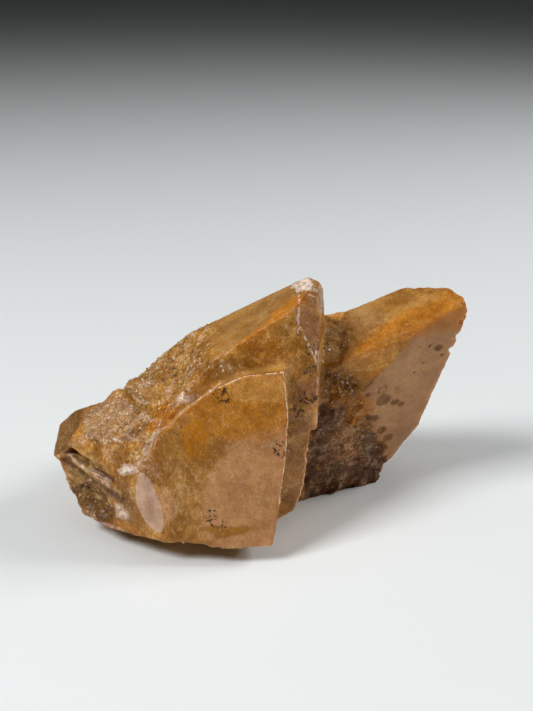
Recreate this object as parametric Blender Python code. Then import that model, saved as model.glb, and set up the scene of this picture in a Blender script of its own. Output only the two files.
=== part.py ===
"""Honey calcite specimen: a cluster of crystals grown together, lying on a flat broken face.

Every size is in millimetres and goes through MM. +X runs along the cluster, from its broken
end to the free tooth, +Y to the back and +Z up. The origin is under the middle of the
cluster's box, on the surface that it lies on.
"""

import math
import random

import bmesh
import bpy
from mathutils import Euler, Matrix, Vector

MM = 0.001
BLOCK = 500.0  # side of the block that each crystal is cut from
HEART = Vector((0.0, 4.0, 24.0))  # a spot deep inside the cluster
CRUMB_TURN = 0.16  # how far, in radians, the crumbs of one crust stray from each other
RHOMB_EDGES = ((0.97, 0.0, -0.24), (-0.485, 0.84, -0.24), (-0.485, -0.84, -0.24))
MIDDLE = Vector((-0.38, 3.34, 0.0))  # moved to the origin: under the middle of the cluster's box

# Each crystal is named corners, then the faces that pass through three of them.
TALL = {
    "ridge_high": (7.9, -11.0, 66.4),
    "ridge_low": (-11.5, -16.5, 54.9),
    "ridge_foot": (-20.4, -19.9, 46.0),
    "crest": (-1.1, 3.0, 64.6),
    "crest_high": (9.1, 2.9, 70.0),
    "crest_low": (-18.5, 5.0, 54.6),
    "shoulder": (-33.2, -12.5, 37.6),
    "shoulder_back": (-38.6, 1.5, 40.6),
    "hump": (-28.4, 5.0, 48.7),
    "chip_top": (12.3, 0.0, 71.3),
    "chip_right": (15.7, 1.0, 69.1),
    "chip_mid": (13.1, -5.5, 69.1),
    "notch": (9.7, -11.4, 63.6),
    "notch_low": (15.0, -13.1, 53.5),
    "bevel": (14.7, -6.2, 66.4),
    "right_high": (15.6, -13.7, 50.8),
    "right_low": (15.3, -17.0, 37.0),
    "right_back": (18.5, 14.0, 44.0),
    "ledge_right": (13.3, -18.1, 33.2),
    "ledge_left": (7.5, -19.5, 30.6),
    "ledge_back": (10.0, 10.0, 27.0),
    "back_low": (2.0, 24.0, 36.0),
    "back_left": (-30.0, 16.0, 34.0),
    "side": (17.4, 2.5, 65.2),
    "front_bevel": (14.8, -5.8, 67.2),
    "patch_high": (-22.6, -20.7, 43.2),
    "patch_low": (-29.9, -23.4, 34.6),
    "patch_back": (-31.2, -15.2, 38.8),
    "under_right": (-10.0, -20.0, 26.0),
    "under_left": (-30.0, -20.0, 27.0),
    "under_back": (-20.0, 10.0, 26.0),
    "end_mid": (-40.0, -6.0, 37.0),
    "end_low": (-42.0, 0.0, 25.0),
}
TALL_FACES = (
    "ridge_high ridge_low right_low",
    "ridge_high ridge_low crest",
    "ridge_low ridge_foot shoulder",
    "crest_high crest_low back_low",
    "chip_top chip_right chip_mid",
    "chip_right side front_bevel",
    "patch_high patch_low patch_back",
    "under_right under_left under_back",
    "notch notch_low bevel",
    "right_high right_low right_back",
    "ledge_right ledge_left ledge_back",
    "shoulder_back end_mid end_low",
    "crest_low hump back_left",
    "hump shoulder_back back_left",
)
TIP = {
    "front_low": (15.2, -13.3, 52.8),
    "front": (10.0, -11.5, 63.4),
    "bevel_high": (15.1, -5.7, 67.5),
    "bevel_low": (15.4, -10.6, 54.6),
    "side": (17.7, 1.5, 63.0),
    "side_low": (18.1, -0.9, 53.5),
    "side_far": (18.2, 8.0, 58.0),
    "foot": (15.4, -10.0, 52.0),
    "foot_back": (16.5, 8.0, 51.5),
    "top": (12.4, 0.0, 71.6),
    "top_right": (15.9, 1.0, 69.4),
    "top_front": (13.2, -5.5, 69.5),
    "face_high": (7.9, -11.3, 66.4),
    "face_left": (-11.5, -16.8, 54.9),
    "face_low": (15.0, -17.3, 37.2),
    "band_high": (9.1, 2.9, 70.3),
    "band_mid": (10.6, -3.1, 69.8),
    "band_low": (-1.1, 3.0, 64.9),
    "back": (12.0, 6.0, 60.0),
    "back_side": (17.6, 3.0, 66.0),
    "inside": (8.4, -4.0, 58.0),
    "shoulder": (17.5, 2.5, 65.4),
    "shoulder_front": (15.2, -5.6, 67.4),
}
TIP_FACES = (
    "front front_low bevel_high",
    "bevel_high bevel_low side_low",
    "side side_low side_far",
    "foot side_low foot_back",
    "top top_right top_front",
    "band_high band_mid band_low",
    "top_right shoulder shoulder_front",
    "back_side back band_high",
    "front band_high inside",
    "face_high face_left face_low",
)
BLADE = {
    "top_right": (6.2, -20.5, 52.5),
    "right": (7.5, -23.5, 41.0),
    "right_low": (6.3, -27.1, 27.4),
    "foot": (3.3, -33.0, 5.2),
    "foot_left": (-10.8, -33.3, 5.2),
    "left_foot": (-26.9, -33.0, 7.8),
    "left": (-30.1, -28.0, 27.2),
    "left_high": (-28.7, -26.0, 34.7),
    "top_left": (-21.3, -23.8, 42.2),
    "top_mid": (-13.8, -22.3, 47.4),
    "top": (-4.5, -21.0, 51.4),
    "left_side": (-41.6, -25.5, 6.6),
    "back_right": (6.5, -6.0, 38.0),
    "back_high": (6.5, -8.0, 46.0),
    "back_top": (-4.0, -12.0, 49.4),
    "back_mid": (-12.0, -12.0, 43.0),
    "back_left": (-23.0, -12.0, 33.0),
    "back_end": (-32.0, -20.0, 27.0),
    "back_foot": (-8.0, -20.0, 4.0),
    "back_foot_left": (-26.0, -20.0, 5.0),
    "back_foot_right": (2.0, -20.0, 8.0),
    "back": (0.0, -8.0, 20.0),
    "rear_left": (-24.0, -10.0, 20.0),
    "rear_high": (0.0, -8.0, 44.0),
    "sole_left": (-24.0, -10.0, 4.0),
    "sole_right": (0.0, -10.0, 4.0),
    "sole_front": (-10.0, -30.0, 3.6),
}
BLADE_FACES = (
    "top_right foot left",
    "top_right right back_high",
    "right right_low back_right",
    "right_low foot back_foot_right",
    "foot foot_left back_foot",
    "foot_left left_foot back_foot_left",
    "left_foot left left_side",
    "left left_high back_end",
    "left_high top_left back_left",
    "top_left top_mid back_mid",
    "top_mid top back_top",
    "top top_right back_top",
    "back rear_left rear_high",
    "sole_left sole_right sole_front",
)
HEEL = {
    "blade_high": (6.2, -20.3, 52.5),
    "blade_foot": (3.3, -32.8, 5.2),
    "blade_left": (-30.1, -27.8, 27.2),
    "edge_low": (-26.9, -33.0, 7.8),
    "front_left": (-41.6, -25.5, 6.6),
    "cavity_high": (-58.2, -10.5, 18.4),
    "cavity_right": (-40.0, -24.0, 14.4),
    "cavity_low": (-45.3, -22.0, 5.4),
    "roof_back": (-44.0, 0.0, 25.0),
    "roof_front": (-33.0, -25.5, 28.0),
    "end_high": (-58.5, -8.0, 19.0),
    "end_mid": (-55.8, -13.4, 12.1),
    "end_back": (-53.0, 2.0, 16.0),
    "under_left": (-52.1, -17.1, 6.3),
    "under_mid": (-45.3, -22.0, 5.0),
    "under_right": (-26.9, -32.6, 6.6),
    "under_left_back": (-46.0, 0.0, 5.0),
    "under_back": (-30.0, -10.0, 3.0),
    "back_low": (-44.0, 12.0, 8.0),
    "back_high": (-40.0, 12.0, 30.0),
    "back_right": (-10.0, 16.0, 26.0),
    "right_low": (-14.0, -24.0, 10.0),
    "right_high": (-14.0, -20.0, 30.0),
    "right_back": (-14.0, 6.0, 20.0),
    "sole_left": (-50.0, 0.0, 5.0),
    "sole_right": (-20.0, 0.0, 2.5),
    "sole_front": (-30.0, -30.0, 4.0),
}
HEEL_FACES = (
    "blade_high blade_foot blade_left",
    "blade_left edge_low front_left",
    "cavity_high cavity_right cavity_low",
    "roof_back roof_front end_high",
    "end_high end_mid end_back",
    "end_mid under_left under_left_back",
    "under_left under_mid under_left_back",
    "under_mid under_right under_back",
    "back_low back_high back_right",
    "right_low right_high right_back",
    "sole_left sole_right sole_front",
)
BENCH = {
    "lip_left": (-57.8, -13.0, 20.7),
    "lip_right": (-39.0, -26.5, 16.2),
    "groove": (-47.4, -16.5, 22.9),
    "under_back": (-48.0, -4.0, 13.0),
    "end_low": (-58.8, -10.5, 20.0),
    "end_high": (-59.2, -10.0, 22.0),
    "end_back": (-57.0, 0.0, 21.0),
    "groove_left": (-56.8, -10.7, 24.0),
    "groove_right": (-41.4, -21.7, 20.4),
    "top_back": (-45.0, 2.0, 20.0),
    "back_low": (-50.0, 8.0, 14.0),
    "back_right": (-30.0, 12.0, 18.0),
    "right_front": (-36.2, -25.6, 23.4),
    "right_low": (-37.3, -25.5, 19.7),
    "right_back": (-30.0, -5.0, 22.0),
    "rear_left": (-50.0, 4.0, 20.0),
    "rear_right": (-30.0, 4.0, 20.0),
    "rear_low": (-40.0, 4.0, 10.0),
}
BENCH_FACES = (
    "lip_left lip_right groove",
    "lip_left lip_right under_back",
    "end_low end_high end_back",
    "groove_left groove_right top_back",
    "top_back back_low back_right",
    "right_front right_low right_back",
    "rear_left rear_right rear_low",
)
GREY = {
    "tip": (-60.2, -10.0, 22.7),
    "facet_high": (-54.7, -3.0, 32.7),
    "facet_front": (-54.8, -13.0, 25.8),
    "end_high": (-59.8, -3.0, 28.4),
    "end_low": (-60.3, -9.0, 22.4),
    "end_back": (-56.0, 8.0, 24.0),
    "top_left": (-54.7, -3.0, 32.7),
    "top_right": (-49.0, -6.4, 35.9),
    "top_back": (-46.0, 6.0, 31.0),
    "groove_left": (-58.8, -10.5, 21.8),
    "groove_right": (-55.6, -13.3, 24.7),
    "groove_back": (-50.0, 0.0, 18.0),
    "right_high": (-48.1, -8.5, 35.3),
    "right_low": (-54.8, -13.2, 25.8),
    "right_back": (-48.0, 0.0, 26.0),
    "back_low": (-48.0, 12.0, 20.0),
    "rear_left": (-56.0, 5.0, 24.0),
    "rear_right": (-40.0, 7.0, 24.0),
    "rear_low": (-46.0, 4.0, 14.0),
}
GREY_FACES = (
    "tip facet_high facet_front",
    "end_high end_low end_back",
    "end_high top_left top_back",
    "top_left top_right top_back",
    "groove_left groove_right groove_back",
    "right_high right_low right_back",
    "end_back top_back back_low",
    "rear_left rear_right rear_low",
)
BRONZE = {
    "top_back": (-41.3, -5.0, 38.4),
    "top_right": (-33.2, -13.0, 37.8),
    "top_front": (-49.1, -13.0, 31.2),
    "front_left": (-54.4, -12.4, 29.0),
    "front_mid": (-42.7, -18.4, 30.8),
    "front_low": (-46.9, -18.5, 24.3),
    "groove_left": (-54.8, -13.4, 26.0),
    "groove_right": (-41.1, -23.2, 21.5),
    "groove_back": (-46.0, -8.0, 22.0),
    "left_back": (-48.4, -6.9, 34.6),
    "left_low": (-50.0, -6.0, 28.0),
    "side_high": (-31.2, -16.7, 36.7),
    "side_mid": (-31.3, -21.9, 34.1),
    "side_low": (-34.0, -25.4, 27.7),
    "side_back": (-30.0, -12.0, 28.0),
    "back_low": (-42.0, 6.0, 24.0),
    "back_left": (-49.3, -5.4, 35.0),
    "back_right": (-35.0, -2.0, 26.0),
}
BRONZE_FACES = (
    "top_back top_right top_front",
    "front_left front_mid front_low",
    "groove_left groove_right groove_back",
    "left_back front_left left_low",
    "side_high side_mid side_back",
    "side_mid side_low side_back",
    "top_back back_left back_low",
    "top_back top_right back_right",
)
SLAB = {
    "top_right": (13.4, -16.0, 32.7),
    "mid_right": (11.9, -14.5, 14.0),
    "low_right": (9.3, -14.0, 5.2),
    "foot": (5.8, -15.2, 3.4),
    "right_mid": (12.6, -15.0, 22.0),
    "right_back": (14.5, 4.0, 18.0),
    "right_back_high": (17.0, 4.0, 32.0),
    "low_back": (10.0, 2.0, 3.0),
    "top_back": (10.0, 6.0, 36.0),
    "top_left": (0.0, -16.0, 36.0),
    "left_high": (-2.0, -18.0, 34.0),
    "left_low": (-2.0, -16.0, 4.0),
    "left_back": (-2.0, 6.0, 10.0),
    "foot_back": (4.0, 4.0, 2.6),
    "sole_left": (-2.0, -14.0, 2.4),
    "sole_right": (5.0, -14.0, 2.8),
    "sole_back": (0.0, 4.0, 1.6),
    "back": (0.0, 8.0, 20.0),
}
SLAB_FACES = (
    "top_right mid_right foot",
    "top_right right_mid right_back_high",
    "right_mid mid_right right_back",
    "mid_right low_right low_back",
    "low_right foot foot_back",
    "top_right top_left top_back",
    "left_high left_low left_back",
    "right_back_high back left_back",
    "sole_left sole_right sole_back",
)
TOOTH = {
    "ridge_low": (22.9, -4.0, 48.3),
    "ridge_high": (57.8, 4.0, 63.5),
    "crest_low": (26.2, 17.6, 56.6),
    "crest": (38.4, 19.0, 61.6),
    "crest_high": (47.9, 16.7, 64.2),
    "crest_tip": (55.1, 12.7, 65.5),
    "crest_end": (58.4, 6.3, 64.5),
    "tip": (60.3, 7.0, 60.0),
    "tip_front": (59.2, 5.0, 58.6),
    "tip_low": (58.1, 6.2, 52.9),
    "tip_back": (56.5, 14.0, 56.0),
    "cheek": (43.3, -1.0, 54.4),
    "cheek_low": (33.1, -2.1, 42.5),
    "front_mid": (48.7, 11.1, 21.4),
    "front_low": (43.5, 11.0, 13.8),
    "foot_back": (46.0, 27.0, 16.0),
    "right_back": (55.5, 16.0, 57.0),
    "back_high": (36.0, 30.0, 44.0),
    "back_mid": (46.0, 27.0, 44.0),
    "back_low": (34.0, 31.0, 20.0),
    "left_high": (24.9, 12.3, 54.4),
    "left_low": (20.0, -2.0, 30.0),
    "pale_high": (27.0, -4.0, 40.2),
    "pale_low": (36.6, 8.2, 12.9),
    "pale_back": (24.0, 20.0, 20.0),
    "floor_a": (0.0, 0.0, -2.0),
    "floor_b": (30.0, 10.0, -2.0),
    "floor_c": (10.0, 30.0, -2.0),
}
TOOTH_FACES = (
    "ridge_low ridge_high crest",
    "ridge_high cheek tip_front",
    "ridge_low cheek cheek_low",
    "cheek tip_front front_low",
    "tip_low front_mid right_back",
    "front_mid front_low foot_back",
    "crest_low crest back_high",
    "crest_high crest_tip back_mid",
    "crest_tip crest_end tip_back",
    "ridge_high crest_end tip",
    "back_high back_mid back_low",
    "ridge_low left_high left_low",
    "pale_high pale_low pale_back",
    "floor_a floor_b floor_c",
)
ROOT = {
    "front_left": (13.2, 1.8, 0.0),
    "front_right": (37.1, 12.8, 0.0),
    "front_high": (33.1, -1.0, 42.5),
    "recess_left": (18.9, 17.0, 55.4),
    "recess_right": (25.3, 18.0, 56.2),
    "recess_front": (23.1, -3.2, 48.0),
    "hollow_left": (16.6, -3.4, 47.0),
    "hollow_right": (24.0, -4.2, 44.0),
    "ridge_low": (22.9, -3.4, 48.2),
    "cheek": (43.3, -0.4, 54.2),
    "cheek_low": (33.1, -1.5, 42.5),
    "right_front": (38.6, 12.0, 0.0),
    "right_mid": (39.8, 12.5, 7.0),
    "right_high": (44.0, 11.5, 15.5),
    "right_back": (38.0, 28.0, 5.0),
    "right_back_low": (37.0, 28.0, 0.0),
    "left_high": (8.0, 4.0, 40.0),
    "left_low": (8.0, 4.0, 0.0),
    "left_back": (8.0, 30.0, 10.0),
    "rear_low": (10.0, 34.0, 0.0),
    "rear_right": (38.0, 31.0, 0.0),
    "rear_high": (26.0, 26.0, 40.0),
    "crest_left": (18.9, 17.2, 55.6),
    "crest_right": (25.3, 18.2, 56.4),
    "crest_back": (22.0, 26.0, 40.0),
    "floor_c": (10.0, 30.0, -2.0),
    "side_high": (43.0, 2.0, 50.0),
    "side_back": (41.0, 20.0, 46.0),
    "side_low": (45.0, 8.0, 24.0),
}
ROOT_FACES = (
    "front_left front_right front_high",
    "recess_left recess_right recess_front",
    "hollow_left hollow_right recess_front",
    "ridge_low cheek cheek_low",
    "right_front right_mid right_back_low",
    "right_mid right_high right_back",
    "left_high left_low left_back",
    "rear_low rear_right rear_high",
    "crest_left crest_right crest_back",
    "front_left front_right floor_c",
    "side_high side_back side_low",
)
REAR = {
    "face_left": (-20.0, 35.0, 6.0),
    "face_right": (14.0, 35.5, 6.0),
    "face_high": (-4.0, 25.5, 44.0),
    "side_low": (15.0, 34.0, 8.0),
    "side_mid": (17.0, 29.0, 30.0),
    "side_back": (13.0, 10.0, 20.0),
    "right_high": (9.0, 25.0, 43.0),
    "right_back": (10.0, 12.0, 38.0),
    "top_left": (-9.0, 25.0, 46.0),
    "top_back": (0.0, 12.0, 41.0),
    "left_high": (-23.0, 27.0, 34.0),
    "left_top": (-17.0, 14.0, 36.0),
    "left_low": (-29.0, 32.0, 16.0),
    "left_back": (-27.0, 10.0, 20.0),
    "foot_left": (-24.0, 34.5, 4.0),
    "foot_back": (-16.0, 16.0, -2.0),
    "foot_right": (12.0, 35.5, 3.0),
    "inside": (-4.0, 6.0, 20.0),
    "inside_left": (-20.0, 6.0, 14.0),
    "inside_high": (-4.0, 6.0, 40.0),
}
REAR_FACES = (
    "face_left face_right face_high",
    "side_low side_mid side_back",
    "side_mid right_high right_back",
    "right_high top_left top_back",
    "top_left left_high left_top",
    "left_high left_low left_back",
    "left_low foot_left left_back",
    "foot_left foot_right foot_back",
    "inside inside_left inside_high",
)
CORE = {
    "floor_a": (13.0, 4.0, -2.0),
    "floor_b": (34.0, 16.0, -2.0),
    "floor_c": (34.0, 28.0, -2.0),
    "floor_d": (4.0, 34.0, -2.0),
    "floor_e": (-30.0, 24.0, -2.0),
    "floor_f": (-37.0, 4.0, -2.0),
    "floor_g": (-24.0, -15.0, -2.0),
    "floor_h": (3.0, -12.0, -2.0),
    "wall_a": (14.0, 2.0, 40.0),
    "wall_b": (36.0, 18.0, 20.0),
    "wall_c": (37.0, 30.0, 20.0),
    "wall_d": (4.0, 37.0, 20.0),
    "wall_e": (-35.0, 27.0, 20.0),
    "wall_f": (-43.0, 3.0, 22.0),
    "wall_g": (-25.5, -19.0, 30.0),
    "wall_h": (4.5, -14.5, 30.0),
    "roof_left": (-40.0, 4.0, 26.0),
    "roof_front": (-24.0, -18.0, 32.0),
    "roof_mid": (6.0, 10.0, 46.0),
    "roof_back": (0.0, 32.0, 34.0),
    "roof_right": (36.0, 22.0, 36.0),
}
CORE_FACES = (
    "floor_a floor_b floor_c",
    "floor_a floor_b wall_b",
    "floor_b floor_c wall_c",
    "floor_c floor_d wall_d",
    "floor_d floor_e wall_e",
    "floor_e floor_f wall_f",
    "floor_f floor_g wall_g",
    "floor_g floor_h wall_h",
    "floor_h floor_a wall_a",
    "roof_left roof_front roof_mid",
    "roof_left roof_mid roof_back",
    "roof_mid roof_right roof_back",
)

# Pits of the tooth's pale face: where, and how wide.
PALE_PITS = (
    ((51.5, 3.8, 49.5), 1.2),
    ((47.0, 4.4, 42.0), 1.1),
    ((35.2, 0.5, 37.6), 1.9),
    ((39.5, 2.2, 37.2), 1.4),
    ((34.6, 2.6, 29.6), 0.9),
    ((36.4, 5.2, 22.4), 1.4),
    ((45.4, 1.4, 51.0), 0.6),
)
UNDERCUT = 90.0  # half the side of the block that leaves the flat foot


def clear_scene():
    for old in list(bpy.data.objects):
        bpy.data.objects.remove(old)


def helper_collection(name):
    """A collection of solids that only shape the cluster."""
    made = bpy.data.collections.new(name)
    bpy.context.scene.collection.children.link(made)
    made.hide_render = True
    return made


def helper_solid(name, mesh, collection):
    """Turns a worked mesh in millimetres into a hidden solid of the collection."""
    mesh.normal_update()
    bmesh.ops.recalc_face_normals(mesh, faces=mesh.faces)
    bmesh.ops.translate(mesh, vec=-MIDDLE, verts=mesh.verts)
    bmesh.ops.scale(mesh, vec=(MM, MM, MM), verts=mesh.verts)
    data = bpy.data.meshes.new(name)
    mesh.to_mesh(data)
    mesh.free()
    solid = bpy.data.objects.new(name, data)
    solid.hide_render = True
    solid.display_type = "WIRE"
    collection.objects.link(solid)
    return solid


def crystal(name, corners, faces, collection):
    """A convex crystal: a block cut flat once for each face, through three named corners."""
    points = {key: Vector(place) for key, place in corners.items()}
    middle = sum(points.values(), Vector()) / len(points)
    mesh = bmesh.new()
    bmesh.ops.create_cube(mesh, size=BLOCK)
    for face in faces:
        first, second, third = (points[key] for key in face.split())
        outward = (second - first).cross(third - first).normalized()
        if outward.dot(middle - first) > 0:
            outward.negate()
        cut = bmesh.ops.bisect_plane(
            mesh,
            geom=mesh.verts[:] + mesh.edges[:] + mesh.faces[:],
            plane_co=first,
            plane_no=outward,
            clear_outer=True,
        )
        rim = [item for item in cut["geom_cut"] if isinstance(item, bmesh.types.BMEdge)]
        bmesh.ops.edgeloop_fill(mesh, edges=rim)
    return helper_solid(name, mesh, collection)


def dogtooth(name, foot, tip, girth, turn, collection):
    """A six-sided tooth crystal, widest a third of the way up, with a short buried end."""
    foot, tip = Vector(foot), Vector(tip)
    upright = (tip - foot).to_track_quat("Z", "Y").to_matrix()
    length = (tip - foot).length
    mesh = bmesh.new()
    mesh.verts.new(foot)
    mesh.verts.new(tip)
    for side in range(6):
        angle = turn + side * math.pi / 3
        reach = girth * (1.0 if side % 2 else 0.82)
        height = length * (0.36 if side % 2 else 0.28)
        corner = Vector((reach * math.cos(angle), reach * math.sin(angle), height))
        mesh.verts.new(foot + upright @ corner)
    bmesh.ops.convex_hull(mesh, input=mesh.verts)
    return helper_solid(name, mesh, collection)


def cleavage_crumbs(name, patch, count, sizes, depth, seed, collection):
    """Small rhombs half sunk in the patch between four corners, nearly parallel to each other."""
    chance = random.Random(seed)
    corners = [Vector(place) for place in patch]
    inward = (corners[1] - corners[0]).cross(corners[3] - corners[0]).normalized()
    if inward.dot(HEART - corners[0]) < 0:
        inward.negate()
    habit = Euler([chance.uniform(0, math.tau) for _ in range(3)]).to_matrix()
    for index in range(count):
        across, along = chance.random(), chance.random()
        near = corners[0].lerp(corners[1], across)
        far = corners[3].lerp(corners[2], across)
        size = chance.uniform(*sizes)
        place = near.lerp(far, along) + inward * size * depth
        turned = habit @ Euler([chance.gauss(0, CRUMB_TURN) for _ in range(3)]).to_matrix()
        edges = [turned @ Vector(edge) * size for edge in RHOMB_EDGES]
        mesh = bmesh.new()
        for step in range(8):
            corner = place - sum(edges, Vector()) / 2
            for bit, edge in enumerate(edges):
                if step >> bit & 1:
                    corner = corner + edge
            mesh.verts.new(corner)
        bmesh.ops.convex_hull(mesh, input=mesh.verts)
        helper_solid(f"{name}_{index}", mesh, collection)


def hollow(name, spot, outward, along, radii, depth, fineness, collection):
    """A shell-shaped cutter: a stretched ball that dips to a depth under a spot of the surface."""
    outward = Vector(outward).normalized()
    across = outward.cross(Vector(along)).normalized()
    along = across.cross(outward)
    mesh = bmesh.new()
    bmesh.ops.create_icosphere(mesh, subdivisions=fineness, radius=1.0)
    axes = Matrix((across, outward, along)).transposed()
    middle = Vector(spot) + outward * (radii[1] - depth)
    for corner in mesh.verts:
        stretched = Vector([length * part for length, part in zip(radii, corner.co)])
        corner.co = middle + axes @ stretched
    return helper_solid(name, mesh, collection)


clear_scene()
grown = helper_collection("grown")
hollows = helper_collection("hollows")

core = crystal("core", CORE, CORE_FACES, grown)
crystal("tall_crystal", TALL, TALL_FACES, grown)
crystal("tip_block", TIP, TIP_FACES, grown)
crystal("front_blade", BLADE, BLADE_FACES, grown)
crystal("heel_block", HEEL, HEEL_FACES, grown)
crystal("bench_plate", BENCH, BENCH_FACES, grown)
crystal("grey_block", GREY, GREY_FACES, grown)
crystal("bronze_block", BRONZE, BRONZE_FACES, grown)
crystal("tooth_root", ROOT, ROOT_FACES, grown)
crystal("low_slab", SLAB, SLAB_FACES, grown)
crystal("right_tooth", TOOTH, TOOTH_FACES, grown)
crystal("rear_blade", REAR, REAR_FACES, grown)

# Teeth at the back, each with its buried foot, its tip, its half width and its turn.
dogtooth("back_tooth_a", (-18, 4, 6), (-36, 34, 26), 13.0, 0.3, grown)
dogtooth("back_tooth_b", (-26, -2, 10), (-43, 22, 25), 11.0, 0.9, grown)
dogtooth("back_tooth_c", (18, 12, 8), (31, 40, 28), 13.0, 0.1, grown)
dogtooth("back_tooth_d", (10, 4, 12), (19, 32, 45), 15.0, 0.5, grown)

# Crusts of cleavage crumbs: the root under the tooth, the shoulder, the bronze block, the back.
ROOT_CRUST = ((17.0, -6.6, 42.0), (27.0, -4.0, 40.0), (37.5, 11.8, 3.0), (14.0, 1.0, 3.0))
SHOULDER = ((-19.5, -18.5, 46.5), (-12.0, -15.5, 54.5), (-18.5, 3.0, 55.0), (-33.0, -8.0, 39.0))
BRONZE_TOP = ((-41.3, -6.0, 38.0), (-33.8, -13.5, 37.4), (-36.0, -23.5, 31.0), (-48.6, -13.0, 31.2))
BACK_CRUST = ((-30.0, 26.0, 4.0), (30.0, 30.0, 4.0), (24.0, 30.0, 30.0), (-28.0, 24.0, 28.0))
cleavage_crumbs("root_crumb", ROOT_CRUST, 60, (2.0, 4.6), 0.4, 5, grown)
cleavage_crumbs("shoulder_crumb", SHOULDER, 40, (1.6, 3.6), 0.35, 8, grown)
cleavage_crumbs("bronze_crumb", BRONZE_TOP, 30, (1.5, 3.2), 0.4, 3, grown)
cleavage_crumbs("back_crumb", BACK_CRUST, 34, (3.0, 8.0), 0.3, 11, grown)

# Hollows: the shell-shaped break beside the blade, the cavity under the bench, the pits.
EDGE_OUT = (-0.23, -0.95, 0.21)
CAVITY_OUT = (-0.567, -0.809, 0.156)
PALE_OUT = (0.4, -0.88, -0.258)
UPWARD = (0.0, 0.0, 1.0)
hollow("shell_break", (-29.3, -30.0, 18.3), EDGE_OUT, (-3.6, 5.0, 19.4), (13, 15, 22), 1.5, 4, hollows)
hollow("cavity", (-49.5, -17.9, 11.4), CAVITY_OUT, UPWARD, (8.0, 6.0, 5.0), 3.0, 2, hollows)
hollow("cavity_end", (-44.0, -21.9, 10.6), CAVITY_OUT, UPWARD, (4.2, 4.0, 3.6), 2.2, 2, hollows)
for number, (spot, girth) in enumerate(PALE_PITS):
    hollow(f"pit_{number}", spot, PALE_OUT, UPWARD, (girth, 1.0, girth), 0.45, 2, hollows)

under = bmesh.new()
bmesh.ops.create_cube(under, size=2 * UNDERCUT)
bmesh.ops.translate(under, vec=(0.0, 0.0, -UNDERCUT), verts=under.verts)
helper_solid("flat_foot", under, hollows)

grown.objects.unlink(core)
bpy.context.scene.collection.objects.link(core)
core.name = "calcite_cluster"
core.hide_render = False
core.display_type = "TEXTURED"
joining = core.modifiers.new("grown together", "BOOLEAN")
joining.operation = "UNION"
joining.operand_type = "COLLECTION"
joining.collection = grown
joining.solver = "EXACT"
cutting = core.modifiers.new("hollows", "BOOLEAN")
cutting.operation = "DIFFERENCE"
cutting.operand_type = "COLLECTION"
cutting.collection = hollows
cutting.solver = "EXACT"
honey = bpy.data.materials.new("honey calcite")
honey.use_nodes = True
shader = honey.node_tree.nodes["Principled BSDF"]
shader.inputs["Base Color"].default_value = (0.47, 0.21, 0.06, 1.0)
shader.inputs["Roughness"].default_value = 0.34
shader.inputs["Metallic"].default_value = 0.0
core.data.materials.append(honey)
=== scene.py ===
"""Honey calcite specimen: the look of the cluster on a pale table, worked from its solid."""
import math

import bmesh
import bpy
import numpy as np
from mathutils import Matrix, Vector, kdtree, noise
from mathutils.bvhtree import BVHTree


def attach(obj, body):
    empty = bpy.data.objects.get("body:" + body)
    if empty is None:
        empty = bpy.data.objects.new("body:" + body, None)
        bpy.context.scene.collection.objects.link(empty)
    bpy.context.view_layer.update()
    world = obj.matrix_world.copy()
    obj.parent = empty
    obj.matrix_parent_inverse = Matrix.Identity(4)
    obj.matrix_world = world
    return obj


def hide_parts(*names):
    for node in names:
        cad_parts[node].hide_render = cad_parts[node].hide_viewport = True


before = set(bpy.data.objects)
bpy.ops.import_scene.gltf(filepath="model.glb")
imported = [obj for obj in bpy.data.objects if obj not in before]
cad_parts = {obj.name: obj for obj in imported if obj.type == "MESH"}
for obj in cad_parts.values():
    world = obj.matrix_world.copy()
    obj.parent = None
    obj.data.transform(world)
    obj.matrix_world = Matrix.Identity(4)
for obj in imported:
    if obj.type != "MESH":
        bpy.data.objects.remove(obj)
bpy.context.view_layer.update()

MM = 0.001

# ---------------------------------------------------------------------------------------------
# The stone. One cluster of honey calcite: blunt cloudy crystals that grew together and broke off
# their rock in one piece. Its skin is worked from the solid: the flat crystal faces stay flat,
# their edges are chipped, the crusts are granular and the broken faces lumpy.
# ---------------------------------------------------------------------------------------------
SKIN_STEP = 0.58  # mm between the skin's points
LONG_EDGE = 3.5  # mm: a solid's edge longer than this is a crystal's edge, a shorter one a crumb's
EDGE_STEP = 0.35  # mm between the points that stand for an edge
SPECK_POINTS = 100  # an island of the skin with fewer points than this is a loose speck
EDGE_CATCH = 0.27  # mm: points nearer to a crystal's edge than this are put on it
OUTER_FOLD = 0.35  # radians: an edge that folds outwards by more than this is a crystal's edge
INNER_FOLD = -0.30  # radians: an edge that folds inwards by more than this is a groove's bottom
FOOT_HEIGHT = 0.4  # mm: what lies lower belongs to the flat foot
WORN_ROUNDS = 14  # how many times the worn folds are evened
CHIP_DEPTH = 0.55  # mm, like every depth, height and width below
PIT_DEPTH = 0.40
NICK_DEPTH = 0.90
LOW_GROOVE_DEPTH = 0.70
BENCH_GROOVE_DEPTH = 0.45
STEP_HEIGHT = 0.55  # of the cleavage steps under the bench
STEP_WIDTH = 1.9
BACK_STEP_HEIGHT = 1.0  # of the steps across the broken back
BACK_STEP_WIDTH = 5.2
BLADE_WAY = (0.02, -0.97, 0.25)  # the way the blade's front face points
TALL_WAY = (0.14, -0.96, 0.23)  # the tall crystal's front face
TOOTH_WAY = (0.16, -0.99, -0.04)  # the tooth's narrow face under its ridge

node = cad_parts["calcite_cluster"]
solid = bmesh.new()
solid.from_mesh(node.data)
bmesh.ops.remove_doubles(solid, verts=solid.verts, dist=1e-6)
bmesh.ops.scale(solid, vec=(1 / MM, 1 / MM, 1 / MM), verts=solid.verts)
solid.normal_update()
faces_of_solid = BVHTree.FromBMesh(solid)

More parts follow.
